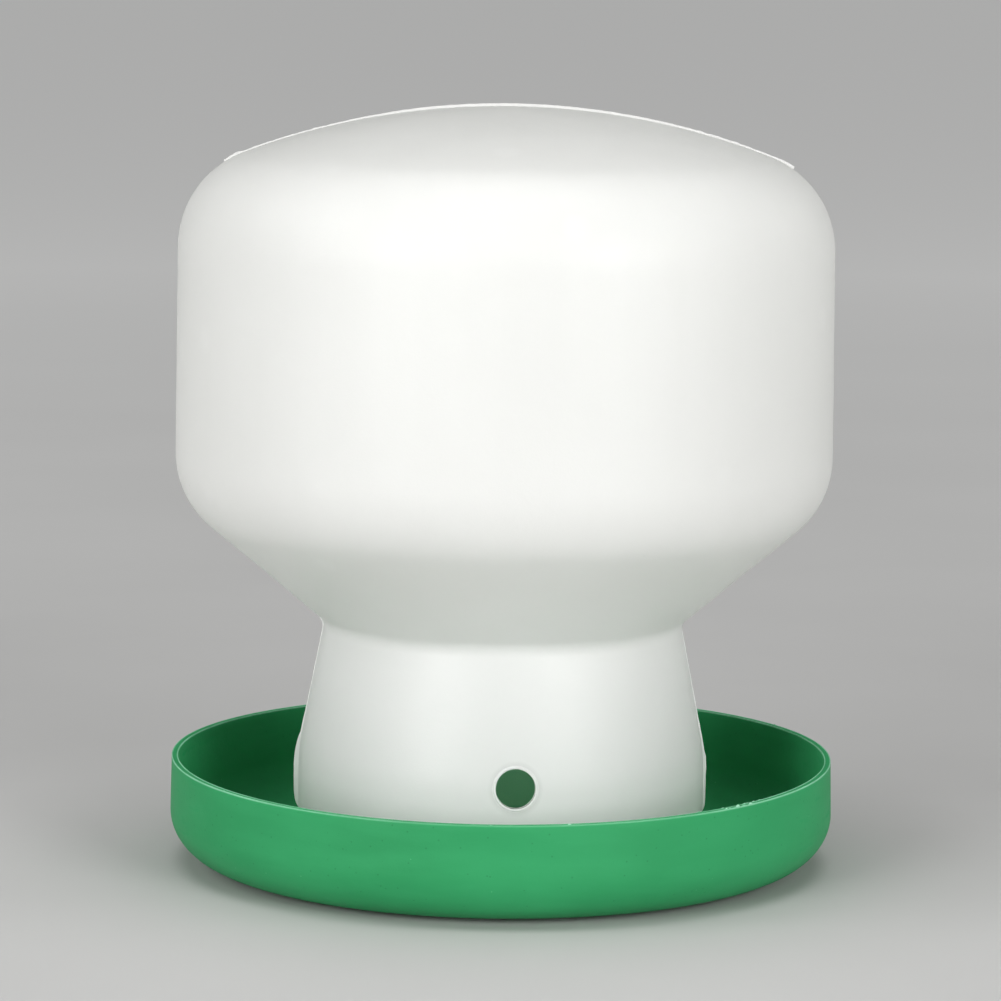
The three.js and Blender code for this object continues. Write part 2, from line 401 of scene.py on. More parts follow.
def crown_path(inset, end_angle):
    """Half of the crown's outline, from the top of the dome to where the ridge ends."""
    arcs = fount_arcs()
    centre, radius, start, _, _ = arcs["shoulder"]
    points = arc_points(*arcs["dome"][:4], RIDGE_DOME_STEPS, inset)
    points += arc_points(centre, radius, start, end_angle, RIDGE_SHOULDER_STEPS, inset)[1:]
    return points


def pinch_ridge():
    """The thin ragged ridge along X over the crown, where the mould pinched the tube of plastic shut."""
    sections = []
    for side, table, end_angle in ((-1, RIDGE_LEFT, RIDGE_LEFT_END), (1, RIDGE_RIGHT, RIDGE_RIGHT_END)):
        # the surface, the ridge's root below it, and a line one millimetre above it
        surface, root, raised = (crown_path(inset, end_angle) for inset in (0.0, RIDGE_ROOT, -1.0))
        half = []
        for (sx, sz), (rx, rz), (ux, uz) in zip(surface, root, raised):
            share = sx / surface[-1][0]
            ragged = RIDGE_RAGGED * noise.noise(Vector((side * sx / RIDGE_RAGGED_LENGTH, *RAGGED_SEED)))
            height = interpolate(table, share) + ragged * (RIDGE_RAGGED_MIDDLE + share)
            top = (sx + (ux - sx) * height, sz + (uz - sz) * height)
            sway = RIDGE_SWAY * noise.noise(Vector((side * sx / RIDGE_SWAY_LENGTH, *SWAY_SEED)))
            half.append([
                (side * rx, sway - RIDGE_HALF_WIDTH, rz),
                (side * rx, sway + RIDGE_HALF_WIDTH, rz),
                (side * top[0], sway + RIDGE_TOP_HALF_WIDTH, top[1] - RIDGE_BEVEL),
                (side * top[0], sway + RIDGE_FLAT_HALF_WIDTH, top[1]),
                (side * top[0], sway - RIDGE_FLAT_HALF_WIDTH, top[1]),
                (side * top[0], sway - RIDGE_TOP_HALF_WIDTH, top[1] - RIDGE_BEVEL),
            ])
        sections = half[::-1] + sections if side < 0 else sections + half[1:]
    return loft("ridge", sections)


# How far the trimmed mould flash stands out beside the skirt, as (height, millimetres), from the foot up
FLASH_LEFT = (
    (17.5, 0.3), (20.0, 0.9), (23.0, 1.5), (26.0, 1.9), (33.0, 2.0), (41.0, 1.8), (47.0, 1.2),
    (49.5, 0.7), (63.0, 0.4), (92.0, 0.25), (97.0, 1.2), (101.0, 1.3), (104.0, 0.7),
)
FLASH_RIGHT = (
    (17.5, 0.3), (20.0, 0.6), (23.0, 0.9), (41.5, 1.1),
    (44.0, 0.6), (63.0, 0.35), (94.0, 0.2), (104.0, 0.2),
)
FLASH_BOTTOM_Z = 17.5
FLASH_TOP_Z = 104.0
FLASH_STEPS = 130
FLASH_HALF_WIDTH = 0.6
FLASH_TIP_SHARE = 0.8           # its tip is this much as wide as its root
FLASH_ROOT = 1.0
FLASH_RAGGED = 0.1              # unevenness of the trimmed edge, and the length of one bump
FLASH_RAGGED_LENGTH = 3.5
FLASH_SEED = (3.0, 7.0)


def skirt_flash(side, table):
    """The line of flash on one side of the skirt, where the mould's halves met, trimmed with a knife."""
    sections = []
    for step in range(FLASH_STEPS + 1):
        z = FLASH_BOTTOM_Z + (FLASH_TOP_Z - FLASH_BOTTOM_Z) * step / FLASH_STEPS
        radius = outer_radius_at(z)
        place = Vector((side * FLASH_SEED[0], FLASH_SEED[1], z / FLASH_RAGGED_LENGTH))
        tip = radius + interpolate(table, z) + FLASH_RAGGED * noise.noise(place)
        root = radius - FLASH_ROOT
        sections.append([
            (side * root, -FLASH_HALF_WIDTH, z),
            (side * root, FLASH_HALF_WIDTH, z),
            (side * tip, FLASH_HALF_WIDTH * FLASH_TIP_SHARE, z),
            (side * tip, -FLASH_HALF_WIDTH * FLASH_TIP_SHARE, z),
        ])
    return loft("flash", sections)


def skirt_point(across, up, out):
    """A point on the skirt round the drinking hole: millimetres to the side, above and outside its centre."""
    z = HOLE_Z + up
    radius = outer_radius_at(z) + out
    azimuth = HOLE_AZIMUTH + across / outer_radius_at(z)
    return radius * math.cos(azimuth), radius * math.sin(azimuth), z


LIP_RADIUS = 8.05               # of the middle of the hole's swollen lip
LIP_THICKNESS = 0.62
LIP_DEPTH = 0.3                 # how deep the middle of the lip lies below the skirt's surface
LIP_SIDES = 12


def hole_lip():
    """The swollen edge that punching leaves round the drinking hole."""
    vertices = []
    faces = []
    for step in range(HOLE_SIDES):
        around = 2 * math.pi * step / HOLE_SIDES
        for side in range(LIP_SIDES):
            turn = 2 * math.pi * side / LIP_SIDES
            reach = LIP_RADIUS + LIP_THICKNESS * math.cos(turn)
            out = LIP_THICKNESS * math.sin(turn) - LIP_DEPTH
            vertices.append(skirt_point(reach * math.cos(around), reach * math.sin(around), out))
            here, there = step * LIP_SIDES, (step + 1) % HOLE_SIDES * LIP_SIDES
            beside = (side + 1) % LIP_SIDES
            faces.append((here + side, there + side, there + beside, here + beside))
    made = new_object("lip", vertices, faces)
    face_outward(made)
    return made


def hole_cutter():
    """A bar across the wall along the hole's direction."""
    outward = Vector((math.cos(HOLE_AZIMUTH), math.sin(HOLE_AZIMUTH), 0.0))
    sideways = Vector((-outward.y, outward.x, 0.0))
    upward = Vector((0.0, 0.0, 1.0))
    sections = []
    for distance in (SKIRT_RADIUS - HOLE_CUT_REACH, SKIRT_RADIUS + HOLE_CUT_REACH):
        centre = outward * distance + upward * HOLE_Z
        ring = []
        for step in range(HOLE_SIDES):
            around = 2 * math.pi * step / HOLE_SIDES
            reach = (sideways * math.cos(around) + upward * math.sin(around)) * HOLE_RADIUS
            ring.append(tuple(centre + reach))
        sections.append(ring)
    return loft("hole", sections)


def notch_cutter(azimuth):
    """A block that opens a notch in the fount's bottom, from the mouth outward."""
    low, high = FOOT_Z - CUT_MARGIN, FOOT_Z + WALL + CUT_MARGIN
    return ring_sector("notch", MOUTH_RADIUS - CUT_MARGIN, NOTCH_REACH, azimuth, NOTCH_WIDTH, low, high)


def make_fount():
    """The hollow white fount, with its mould seams, drinking hole and bayonet notches."""
    outline = fount_side(0.0) + fount_side(WALL)[::-1]
    fount = revolve("fount_shell", outline, FOUNT_COLUMNS, fount_move)
    additions = [pinch_ridge(), skirt_flash(-1, FLASH_LEFT), skirt_flash(1, FLASH_RIGHT), hole_lip()]
    combine(fount, additions, "UNION")
    cuts = [hole_cutter()] + [notch_cutter(azimuth) for azimuth in bayonet_azimuths(NOTCH_AZIMUTH)]
    combine(fount, cuts, "DIFFERENCE")
    smooth(fount, SHARP_ANGLE)
    return fount


# ---- tray ----

RIM_LIP = 0.16                  # the rim's inner and outer edges stand up a little
RIM_LIP_WIDTH = 0.45
EDGE_ROUND = 0.25
EDGE_POINT_ACROSS = 0.08        # the point in the middle of a rounded edge, from its two faces
EDGE_POINT_DOWN = 0.06
RIM_TOP_BAND = 0.1              # points this near the rim's top belong to its edges

# The gate mark in the middle of the underside, as (radius, depth): a round recess with a stub in it
GATE_MARK = ((4.5, 0.0), (4.0, 0.35), (1.4, 0.35), (1.1, 0.15), (0.0, 0.15))

# The tray has warped. Its rim stands above true by a curve over the share y, -1 in front and 1 at the back:
# sides + slope * y + bend * y * y
WARP_SIDES = 1.2
WARP_SLOPE = 0.8
WARP_BEND = -1.1

TRAY_WAVE = 0.12                # unevenness of the tray
TRAY_WAVE_SIZE = 60.0
TRAY_WAVE_FULL_R = 60.0         # the wave fades out from here to the axis

BURR_SIZE = 0.55
BURR_SCALE = 95.0               # how fine the burrs are round the rim
BURR_CHANCE = 0.10
BURR_CLUSTERS = ((-46.0, 8.0, 0.65), (-88.0, 9.0, 0.35))     # azimuth, width and added chance
BURR_LEVEL = 0.84               # a burr starts where the noise is above this, less a share of the chance
BURR_CHANCE_SHARE = 0.45
BURR_RISE = 0.16                # how much more noise makes a full burr
OUTER_BURR_SEED = 1.0
INNER_BURR_SEED = 2.0
INNER_BURR_SHARE = 0.5          # burrs on the rim's inner edge are this much as high


def corner_points(inset):
    """A quarter of an ellipse, from the flat underside out and up to the upright wall."""
    flat = BULGE_RADIUS - CORNER_WIDTH
    points = []
    for step in range(CORNER_STEPS + 1):
        angle = math.radians(90.0 * step / CORNER_STEPS)
        reach = (CORNER_WIDTH - inset) * math.sin(angle)
        drop = (CORNER_HEIGHT - inset) * math.cos(angle)
        points.append((flat + reach, PAD_HEIGHT + CORNER_HEIGHT - drop))
    return points


def tray_outline():
    """From the middle of the floor over the collar, wall and rim, down to the middle of the underside."""
    inner_rim = RIM_RADIUS - TRAY_WALL
    collar_inner = COLLAR_RADIUS - COLLAR_WALL
    floor = [
        (0.0, FLOOR_Z),
        (collar_inner - COLLAR_FILLET, FLOOR_Z),
        (collar_inner - COLLAR_FILLET_MIDDLE, FLOOR_Z + COLLAR_FILLET_MIDDLE),
        (collar_inner, FLOOR_Z + COLLAR_FILLET),
        (collar_inner, COLLAR_TOP_Z - COLLAR_EDGE),
        (collar_inner + COLLAR_EDGE, COLLAR_TOP_Z),
        (COLLAR_RADIUS - COLLAR_EDGE, COLLAR_TOP_Z),
        (COLLAR_RADIUS, COLLAR_TOP_Z - COLLAR_EDGE),
        (COLLAR_RADIUS, FLOOR_Z + COLLAR_FILLET),
        (COLLAR_RADIUS + COLLAR_FILLET_MIDDLE, FLOOR_Z + COLLAR_FILLET_MIDDLE),
        (COLLAR_RADIUS + COLLAR_FILLET, FLOOR_Z),
    ]
    rim = [
        (inner_rim, RIM_Z - EDGE_ROUND),
        (inner_rim + EDGE_POINT_ACROSS, RIM_Z - EDGE_POINT_DOWN),
        (inner_rim + EDGE_ROUND, RIM_Z),
        (inner_rim + RIM_LIP_WIDTH, RIM_Z - RIM_LIP),
        (RIM_RADIUS - RIM_LIP_WIDTH, RIM_Z - RIM_LIP),
        (RIM_RADIUS - EDGE_ROUND, RIM_Z),
        (RIM_RADIUS - EDGE_POINT_ACROSS, RIM_Z - EDGE_POINT_DOWN),
        (RIM_RADIUS, RIM_Z - EDGE_ROUND),
    ]
    gate = [(r, PAD_HEIGHT + depth) for r, depth in GATE_MARK]
    points = floor + corner_points(TRAY_WALL) + rim + corner_points(0.0)[::-1] + gate
    return spaced(points)


def burr(azimuth, seed):
    """Height of the burrs left on an edge of the rim. Most of the rim has none."""
    chance = BURR_CHANCE
    for middle, width, gain in BURR_CLUSTERS:
        turn = (math.degrees(azimuth) - middle + 180.0) % 360.0 - 180.0
        chance += gain * math.exp(-(turn / width) ** 2)
    place = Vector((math.cos(azimuth), math.sin(azimuth), seed)) * BURR_SCALE
    level = 0.5 + 0.5 * noise.noise(place)
    return BURR_SIZE * max(0.0, level - (BURR_LEVEL - chance * BURR_CHANCE_SHARE)) / BURR_RISE


def tray_move(r, z, azimuth):
    """The tray's slight unevenness, the rim's warp and its burrs."""
    place = Vector((r * math.cos(azimuth), r * math.sin(azimuth), z)) / TRAY_WAVE_SIZE
    corner_top = PAD_HEIGHT + CORNER_HEIGHT
    high = max(0.0, z - corner_top) / (RIM_Z - corner_top)
    moved_r = r + TRAY_WAVE * noise.noise(place) * min(1.0, r / TRAY_WAVE_FULL_R)
    moved_z = z
    if r > BULGE_RADIUS - CORNER_WIDTH:
        backward = math.sin(azimuth)
        moved_z += high * (WARP_SIDES + backward * (WARP_SLOPE + WARP_BEND * backward))
    if z > RIM_Z - RIM_TOP_BAND and r > RIM_RADIUS - RIM_LIP_WIDTH:
        moved_z += min(burr(azimuth, OUTER_BURR_SEED), BURR_SIZE)
    elif z > RIM_Z - RIM_TOP_BAND and r < RIM_RADIUS - TRAY_WALL + RIM_LIP_WIDTH:
        moved_z += INNER_BURR_SHARE * min(burr(azimuth, INNER_BURR_SEED), BURR_SIZE)
    return moved_r, moved_z


def pad(azimuth):
    """One of the low round pads that the tray stands on."""
    middle = math.radians(azimuth)
    side = ((PAD_RADIUS - PAD_EDGE, 0.0), (PAD_RADIUS, PAD_EDGE), (PAD_RADIUS, PAD_HEIGHT + PAD_ROOT))
    sections = []
    for radius, z in side:
        ring = []
        for step in range(PAD_SIDES):
            around = 2 * math.pi * step / PAD_SIDES
            x = PAD_CENTRE_R * math.cos(middle) + radius * math.cos(around)
            y = PAD_CENTRE_R * math.sin(middle) + radius * math.sin(around)
            ring.append((x, y, z))
        sections.append(ring)
    return loft("pad", sections)


def make_tray():
    """The green tray, with its collar, bayonet lugs and pads."""
    tray = revolve("tray_pan", tray_outline(), TRAY_COLUMNS, tray_move)
    additions = []
    root = COLLAR_RADIUS - LUG_ROOT
    for azimuth in bayonet_azimuths(LUG_AZIMUTH):
        additions.append(ring_sector("lug", root, LUG_REACH, azimuth, LUG_WIDTH, LUG_UNDERSIDE_Z, LUG_TOP_Z))
    for index in range(PAD_COUNT):
        additions.append(pad(PAD_AZIMUTH + index * 360.0 / PAD_COUNT))
    combine(tray, additions, "UNION")
    smooth(tray, SHARP_ANGLE)
    return tray


# ---- materials ----

class Look:
    """A procedural material, with short calls for the nodes that the plastics and the floor use."""

    def __init__(self, name):
        self.material = bpy.data.materials.new(name)
        self.material.use_nodes = True
        self.tree = self.material.node_tree
        self.shader = self.tree.nodes["Principled BSDF"]
        self.place = self.node("ShaderNodeTexCoord").outputs["Object"]

    def node(self, kind, **settings):
        """Adds a node with some of its settings."""
        made = self.tree.nodes.new(kind)
        for key, value in settings.items():
            setattr(made, key, value)
        return made

    def link(self, output, socket):
        """Joins an output to an input."""
        self.tree.links.new(output, socket)

    def stretched(self, scale):
        """Object coordinates in metres, times a scale for each axis."""
        mapping = self.node("ShaderNodeMapping")
        mapping.inputs["Scale"].default_value = scale
        self.link(self.place, mapping.inputs["Vector"])
        return mapping.outputs["Vector"]

    def noise(self, scale, detail, vector=None):
        """Soft noise, over object coordinates in metres unless another vector is given."""
        made = self.node("ShaderNodeTexNoise")
        made.inputs["Scale"].default_value = scale
        made.inputs["Detail"].default_value = detail
        self.link(vector or self.place, made.inputs["Vector"])
        return made.outputs["Fac"]

    def spots(self, scale, radius):
        """A mask of small round spots, one at most in each cell. The radius is a share of the cell."""
        cells = self.node("ShaderNodeTexVoronoi")
        cells.inputs["Scale"].default_value = scale
        self.link(self.place, cells.inputs["Vector"])
        return self.range(cells.outputs["Distance"], radius, radius * 0.5, 0.0, 1.0)

    def range(self, value, low, high, to_low, to_high):
        """Maps a value from one range to another, and keeps it within that."""
        made = self.node("ShaderNodeMapRange")
        made.inputs["From Min"].default_value = low
        made.inputs["From Max"].default_value = high
        made.inputs["To Min"].default_value = to_low
        made.inputs["To Max"].default_value = to_high
        self.link(value, made.inputs["Value"])
        return made.outputs["Result"]

    def math(self, operation, a, b=None, c=None):
        """Calculates with up to three inputs, each a socket or a number."""
        made = self.node("ShaderNodeMath", operation=operation)
        for socket, value in zip(made.inputs, (a, b, c)):
            if value is None:
                continue
            if isinstance(value, (int, float)):
                socket.default_value = value
            else:
                self.link(value, socket)
        return made.outputs["Value"]

    def mix(self, share, a, b):
        """Mixes two colours, each a socket or a value."""
        made = self.node("ShaderNodeMix", data_type="RGBA")
        colour_sockets = [s for s in made.inputs if s.type == "RGBA"]
        self.link(share, made.inputs[0])
        for socket, value in zip(colour_sockets, (a, b)):
            if isinstance(value, tuple):
                socket.default_value = (*value, 1.0)
            else:
                self.link(value, socket)
        return [s for s in made.outputs if s.type == "RGBA"][0]

    def bump(self, height, distance, strength=1.0, normal=None):
        """Fine relief over another normal. The distance is the height of a full bump, in metres."""
        made = self.node("ShaderNodeBump")
        made.inputs["Distance"].default_value = distance
        made.inputs["Strength"].default_value = strength
        self.link(height, made.inputs["Height"])
        if normal is not None:
            self.link(normal, made.inputs["Normal"])
        return made.outputs["Normal"]

    def axis(self, name):
        """One object coordinate, in metres."""
        made = self.node("ShaderNodeSeparateXYZ")
        self.link(self.place, made.inputs["Vector"])
        return made.outputs[name]

    def radius(self):
        """Distance from the Z axis, in metres."""
        squares = [self.math("POWER", self.axis(name), 2.0) for name in "XY"]
        return self.math("SQRT", self.math("ADD", *squares))

    def distance(self, point):
        """Distance from a point given in metres."""
        made = self.node("ShaderNodeVectorMath", operation="DISTANCE")
        self.link(self.place, made.inputs[0])
        made.inputs[1].default_value = point
        return made.outputs["Value"]

    def glow(self, colour, from_outside, from_within):
        """Lets light through. One share is for faces seen from outside, one for those seen from within."""
        face = self.node("ShaderNodeNewGeometry").outputs["Backfacing"]
        through = self.node("ShaderNodeBsdfTranslucent")
        through.inputs["Color"].default_value = (*colour, 1.0)
        mixed = self.node("ShaderNodeMixShader")
        self.link(self.range(face, 0.0, 1.0, from_outside, from_within), mixed.inputs[0])
        self.link(self.shader.outputs[0], mixed.inputs[1])
        self.link(through.outputs[0], mixed.inputs[2])
        self.link(mixed.outputs[0], self.tree.nodes["Material Output"].inputs["Surface"])

    def set(self, **values):
        """Sets values on the shader's own sockets, with _ for the spaces in their names."""
        for key, value in values.items():
            self.shader.inputs[key.replace("_", " ")].default_value = value


WHITE_DULL = (0.885, 0.887, 0.87)
WHITE_BRIGHT = (0.92, 0.922, 0.905)
WHITE_STREAK = (0.84, 0.845, 0.82)
WHITE_HAZE = (0.96, 0.962, 0.95)
WHITE_SPECK = (0.16, 0.14, 0.11)
# painted light on the skirt
SKIRT_PAINTED_LIGHT = (0.99, 0.992, 0.985)
# painted highlight on the hole's lip
PAINTED_HIGHLIGHT_LIP = (0.99, 0.99, 0.985)
# painted shade round the hole's lip
PAINTED_SHADE_ROUND_LIP = (0.74, 0.745, 0.735)
# painted shade inside the edge of the hole's cut
HOLE_PAINTED_SHADE = (0.10, 0.15, 0.12)
WHITE_THROUGH = (0.96, 0.96, 0.945)
WHITE_STREAK_SHARE = 0.16
WHITE_STREAK_STRETCH = (90.0, 90.0, 4.0)
WHITE_HAZE_SHARE = 0.35
WHITE_SPECK_SHARE = 0.75
SKIRT_PAINTED_LIGHT_SHARE = 0.75
PAINTED_SHADE_ROUND_LIP_SHARE = 0.5
HOLE_PAINTED_SHADE_SHARE = 0.9
WHITE_ROUGHNESS = (0.36, 0.50)
WHITE_SCUFF_ROUGHNESS = 0.10
WHITE_SCUFF_STRETCH = (35.0, 35.0, 160.0)
GLOW_OUTSIDE = 0.30             # share of light let through by a face seen from outside
GLOW_WITHIN = 0.95              # and by one seen from within the wall

# where each change of tone starts and where it is full, in metres
# painted light on the skirt, by height
SKIRT_PAINTED_LIGHT_Z = (0.125, 0.085)
# painted shade round the hole's lip
ROUND_LIP_RING = (0.0108, 0.0092)
# painted highlight on the hole's lip
LIP_RING = (0.0090, 0.0087)
# painted shade inside the edge of the hole's cut
HOLE_PAINTED_SHADE_RING = (0.00765, 0.00752)
SEAM_LINE = (0.0006, 0.0001)
SEAM_HEIGHT = 0.00012


def white_plastic():
    """Translucent white plastic with faint streaks and a few specks, painted light on the skirt, and a
    painted highlight on the lip round the hole with painted shade round and inside it.
    """
    look = Look("white_polyethylene")
    mottle = look.noise(scale=9.0, detail=4.0)
    streaks = look.noise(scale=1.0, detail=5.0, vector=look.stretched(WHITE_STREAK_STRETCH))
    tone = look.mix(look.range(mottle, 0.3, 0.7, 0.0, 1.0), WHITE_DULL, WHITE_BRIGHT)
    tone = look.mix(look.range(streaks, 0.35, 0.75, 0.0, WHITE_STREAK_SHARE), tone, WHITE_STREAK)
    haze = look.math("MULTIPLY", look.spots(scale=24.0, radius=0.16), WHITE_HAZE_SHARE)
    tone = look.mix(haze, tone, WHITE_HAZE)
    specks = look.math("MULTIPLY", look.spots(scale=46.0, radius=0.016), WHITE_SPECK_SHARE)
    tone = look.mix(specks, tone, WHITE_SPECK)
    # painted light: the skirt is painted whiter lower down, standing in for the light that fills the
    # translucent bell
    on_skirt = look.range(look.axis("Z"), *SKIRT_PAINTED_LIGHT_Z, 0.0, SKIRT_PAINTED_LIGHT_SHARE)
    tone = look.mix(on_skirt, tone, SKIRT_PAINTED_LIGHT)
    # round the hole, from the outside in, all painted: a faint painted shade, a painted highlight on the lip
    # and painted shade at the edge of the cut
    from_hole = look.distance([c * MM for c in skirt_point(0.0, 0.0, 0.0)])
    # painted shade round the hole's lip
    round_lip_shade = look.range(from_hole, *ROUND_LIP_RING, 0.0, 1.0)
    shade = look.math("MULTIPLY", round_lip_shade, PAINTED_SHADE_ROUND_LIP_SHARE)
    tone = look.mix(shade, tone, PAINTED_SHADE_ROUND_LIP)
    # painted highlight on the hole's lip
    tone = look.mix(look.range(from_hole, *LIP_RING, 0.0, 1.0), tone, PAINTED_HIGHLIGHT_LIP)
    # painted shade inside the edge of the hole's cut
    tone = look.mix(look.range(from_hole, *HOLE_PAINTED_SHADE_RING, 0.0, HOLE_PAINTED_SHADE_SHARE), tone, HOLE_PAINTED_SHADE)
    look.link(tone, look.shader.inputs["Base Color"])

    scuffs = look.noise(scale=1.0, detail=8.0, vector=look.stretched(WHITE_SCUFF_STRETCH))
    rough = look.range(mottle, 0.25, 0.75, *WHITE_ROUGHNESS)
    rough = look.math("ADD", rough, look.range(scuffs, 0.60, 0.70, 0.0, WHITE_SCUFF_ROUGHNESS))
    look.link(rough, look.shader.inputs["Roughness"])

    grain = look.bump(look.noise(scale=1400.0, detail=2.0), distance=0.00004)
    dimples = look.bump(look.noise(scale=55.0, detail=4.0), distance=0.0005, strength=0.5, normal=grain)
    seam = look.range(look.math("ABSOLUTE", look.axis("Y")), *SEAM_LINE, 0.0, 1.0)
    line = look.bump(seam, distance=SEAM_HEIGHT, normal=dimples)
    look.link(line, look.shader.inputs["Normal"])
    look.glow(WHITE_THROUGH, GLOW_OUTSIDE, GLOW_WITHIN)
    look.set(IOR=1.5, Specular_IOR_Level=0.45)
    return look.material


GREEN_DARK = (0.030, 0.288, 0.104)
GREEN_LIGHT = (0.038, 0.332, 0.124)
GREEN_FLOW = (0.046, 0.36, 0.14)
GREEN_SPECK = (0.006, 0.06, 0.025)
GREEN_FLECK = (0.20, 0.62, 0.36)
# painted highlight on the rim's edges
GREEN_RIM_HIGHLIGHT = (0.34, 0.74, 0.50)
GREEN_BURR = (0.46, 0.80, 0.60)
# painted light on the collar and its lugs
GREEN_COLLAR_LIGHT = (0.27, 0.62, 0.37)
GREEN_FLOW_SHARE = 0.4
GREEN_FLOW_STRETCH = (30.0, 30.0, 130.0)
GREEN_SPECK_SHARE = 0.28
GREEN_FLECK_SHARE = 0.4
GREEN_RIM_HIGHLIGHT_SHARE = (0.45, 0.9)
GREEN_COLLAR_LIGHT_SHARE = 0.85
GREEN_ROUGHNESS = (0.44, 0.56)
GREEN_SCUFF_ROUGHNESS = 0.12
GREEN_SCUFF_STRETCH = (60.0, 60.0, 260.0)

# where each change of tone starts and where it is full: on the rim in millimetres, on the collar in metres
# where the rim's painted highlights lie
RIM_EDGE_DEPTH = (0.7, 0.3)     # below the rim's top
OUTER_EDGE_IN = (0.55, 0.3)     # inside the rim's outer radius
INNER_EDGE_OUT = (0.65, 0.35)   # outside the rim's inner radius
BURR_TIP_RISE = (0.05, 0.25)    # above the rim's top
# painted light on the collar and its lugs
COLLAR_LIGHT_R = (0.0745, 0.0730)
COLLAR_LIGHT_Z = (0.004, 0.008)


def green_plastic():
    """Satin green plastic with faint specks, painted highlights on the rim's edges and painted light on the
    collar.
    """
    look = Look("green_polyethylene")
    mottle = look.noise(scale=14.0, detail=5.0)
    flow = look.noise(scale=1.0, detail=4.0, vector=look.stretched(GREEN_FLOW_STRETCH))
    tone = look.mix(look.range(mottle, 0.3, 0.7, 0.0, 1.0), GREEN_DARK, GREEN_LIGHT)
    tone = look.mix(look.range(flow, 0.4, 0.7, 0.0, GREEN_FLOW_SHARE), tone, GREEN_FLOW)
    specks = look.math("MULTIPLY", look.spots(scale=260.0, radius=0.11), GREEN_SPECK_SHARE)
    tone = look.mix(specks, tone, GREEN_SPECK)
    flecks = look.math("MULTIPLY", look.spots(scale=120.0, radius=0.035), GREEN_FLECK_SHARE)
    tone = look.mix(flecks, tone, GREEN_FLECK)

    # painted highlights along the rim's inner and outer edges, which follow its warp
    radius = look.radius()
    backward = look.math("DIVIDE", look.axis("Y"), RIM_RADIUS * MM)
    bend = look.math("MULTIPLY_ADD", backward, WARP_BEND * MM, WARP_SLOPE * MM)
    rim_z = look.math("MULTIPLY_ADD", backward, bend, (RIM_Z + WARP_SIDES) * MM)
    below_rim = look.math("SUBTRACT", rim_z, look.axis("Z"))
    on_rim = look.range(below_rim, *(depth * MM for depth in RIM_EDGE_DEPTH), 0.0, 1.0)
    outer = [(RIM_RADIUS - inward) * MM for inward in OUTER_EDGE_IN]
    inner = [(RIM_RADIUS - TRAY_WALL + outward) * MM for outward in INNER_EDGE_OUT]
    outer_edge = look.range(radius, *outer, 0.0, 1.0)
    inner_edge = look.range(radius, *inner, 0.0, 1.0)
    edges = look.math("MULTIPLY", on_rim, look.math("MAXIMUM", outer_edge, inner_edge))
    rim_highlight_breakup = look.range(look.noise(scale=60.0, detail=4.0), 0.3, 0.7, *GREEN_RIM_HIGHLIGHT_SHARE)
    less_in_front = look.range(backward, -1.0, -0.7, 0.3, 1.0)
    # painted highlight on the rim's edges, broken up by noise
    rim_highlight = look.math("MULTIPLY", edges, look.math("MULTIPLY", rim_highlight_breakup, less_in_front))
    tone = look.mix(rim_highlight, tone, GREEN_RIM_HIGHLIGHT)
    burr_tips = look.range(below_rim, *(-rise * MM for rise in BURR_TIP_RISE), 0.0, 1.0)
    tone = look.mix(burr_tips, tone, GREEN_BURR)

    # painted light: the collar and its lugs, under the fount, are painted paler, standing in for the light
    # that passes through the white wall
    collar = look.range(radius, *COLLAR_LIGHT_R, 0.0, 1.0)
    above_floor = look.range(look.axis("Z"), *COLLAR_LIGHT_Z, 0.0, GREEN_COLLAR_LIGHT_SHARE)
    collar_light = look.math("MULTIPLY", collar, above_floor)
    tone = look.mix(collar_light, tone, GREEN_COLLAR_LIGHT)
    look.link(tone, look.shader.inputs["Base Color"])

    rough = look.range(mottle, 0.25, 0.75, *GREEN_ROUGHNESS)
    scuffs = look.noise(scale=1.0, detail=8.0, vector=look.stretched(GREEN_SCUFF_STRETCH))
    rough = look.math("ADD", rough, look.range(scuffs, 0.58, 0.70, 0.0, GREEN_SCUFF_ROUGHNESS))
    look.link(rough, look.shader.inputs["Roughness"])

    grain = look.bump(look.noise(scale=1100.0, detail=2.0), distance=0.00004)
    peel = look.bump(look.noise(scale=160.0, detail=3.0), distance=0.00018, strength=0.6, normal=grain)
    look.link(peel, look.shader.inputs["Normal"])
    look.set(Subsurface_Weight=0.12, Subsurface_Scale=0.003, Subsurface_Radius=(0.5, 1.0, 0.6))
    look.set(IOR=1.5, Specular_IOR_Level=0.10)
    return look.material


FLOOR_DULL = (0.53, 0.528, 0.52)
FLOOR_BRIGHT = (0.57, 0.568, 0.56)
FLOOR_FAR = (0.90, 0.90, 0.89)
FLOOR_FADE = (0.3, 3.0)         # metres from the axis, where the far tone starts and where it is full


def floor_paper():
    """Pale plain paper, paler where the soft boxes don't reach, so that it looks even."""
    look = Look("floor_paper")
    mottle = look.noise(scale=3.0, detail=6.0)
    tone = look.mix(look.range(mottle, 0.3, 0.7, 0.0, 1.0), FLOOR_DULL, FLOOR_BRIGHT)
    from_axis = look.distance((0.0, 0.0, 0.0))
    tone = look.mix(look.range(from_axis, *FLOOR_FADE, 0.0, 1.0), tone, FLOOR_FAR)
    look.link(tone, look.shader.inputs["Base Color"])
    fibres = look.bump(look.noise(scale=420.0, detail=4.0), distance=0.0002, strength=0.1)
    look.link(fibres, look.shader.inputs["Normal"])
    look.set(Roughness=0.75, Specular_IOR_Level=0.2)
    return look.material


# ---- stage ----

FLOOR_HALF = 45.0               # half the floor's side, in metres
FLOOR_SEGMENTS = 12
LIGHT_TARGET = Vector((0.0, 0.0, 0.16))
LIGHT_DISTANCE = 2.4
FRONT_SIZE = (1.1, 1.15)        # width and height of a soft box
SIDE_SIZE = (0.9, 0.9)

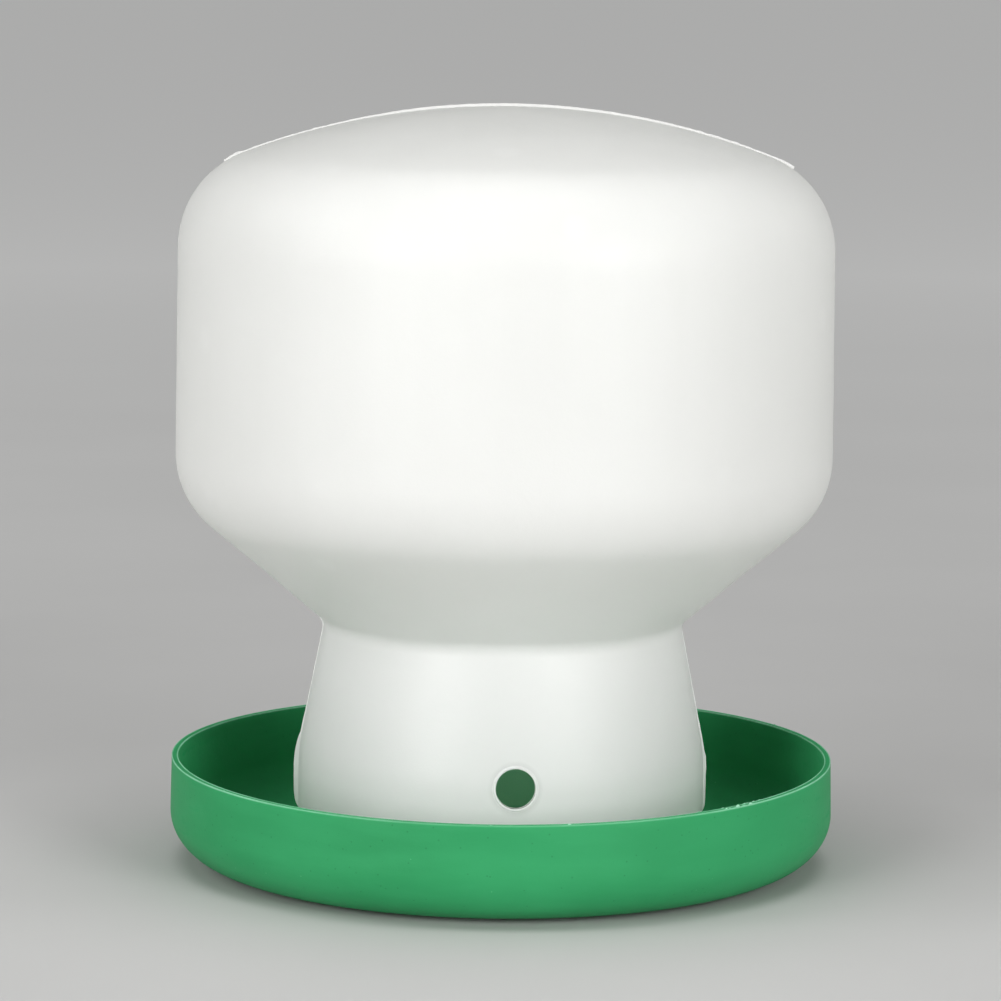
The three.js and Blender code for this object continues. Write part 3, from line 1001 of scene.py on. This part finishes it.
# name, azimuth and elevation in degrees, size, power
SOFT_BOXES = (
    ("front_left", -38.0, 14.0, FRONT_SIZE, 30.5),
    ("front_right", 38.0, 14.0, FRONT_SIZE, 32.5),
    ("side_left", -75.0, 40.0, SIDE_SIZE, 9.0),
    ("side_right", 75.0, 40.0, SIDE_SIZE, 4.0),
)
OVERHEAD_STRENGTH = 1.3
OVERHEAD_SPREAD = 50.0          # degrees across, so its shadows are soft
WORLD_TONE = (0.98, 0.99, 1.0, 1.0)
WORLD_STRENGTH = 0.07


def make_floor():
    """A pale paper floor, wide enough to fill the background."""
    work = bmesh.new()
    bmesh.ops.create_grid(work, x_segments=FLOOR_SEGMENTS, y_segments=FLOOR_SEGMENTS, size=FLOOR_HALF)
    mesh = bpy.data.meshes.new("floor")
    work.to_mesh(mesh)
    work.free()
    floor = bpy.data.objects.new("floor", mesh)
    floor.location.z = cad_box[0].z
    mesh.materials.append(floor_paper())
    bpy.context.scene.collection.objects.link(floor)


def area_light(name, azimuth, elevation, size, power):
    """A soft box aimed at the middle of the waterer. Azimuth 0 is in front and 90 degrees to the right."""
    turn, rise = math.radians(azimuth), math.radians(elevation)
    outward = Vector((math.sin(turn) * math.cos(rise), -math.cos(turn) * math.cos(rise), math.sin(rise)))
    data = bpy.data.lights.new(name, "AREA")
    data.shape = "RECTANGLE"
    data.size, data.size_y = size
    data.energy = power
    light = bpy.data.objects.new(name, data)
    light.location = LIGHT_TARGET + outward * LIGHT_DISTANCE
    light.rotation_euler = outward.to_track_quat("Z", "Y").to_euler()
    light.visible_camera = False
    bpy.context.scene.collection.objects.link(light)


def light_stage():
    """Two tall soft boxes in front, a weaker pair high at the sides, and a wide even light from overhead."""
    for soft_box in SOFT_BOXES:
        area_light(*soft_box)
    sky = bpy.data.lights.new("overhead", "SUN")
    sky.energy = OVERHEAD_STRENGTH
    sky.angle = math.radians(OVERHEAD_SPREAD)
    bpy.context.scene.collection.objects.link(bpy.data.objects.new("overhead", sky))
    world = bpy.data.worlds.new("studio")
    world.use_nodes = True
    background = world.node_tree.nodes["Background"]
    background.inputs["Color"].default_value = WORLD_TONE
    background.inputs["Strength"].default_value = WORLD_STRENGTH
    bpy.context.scene.world = world
    bpy.context.scene.view_settings.view_transform = "Standard"


# ---- build ----

make_camera()
make_floor()
light_stage()

fount = make_fount()
fount.data.materials.clear()
fount.data.materials.append(white_plastic())
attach(fount, "fount")
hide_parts("fount")

tray = make_tray()
tray.data.materials.clear()
tray.data.materials.append(green_plastic())
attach(tray, "tray")
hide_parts("tray")
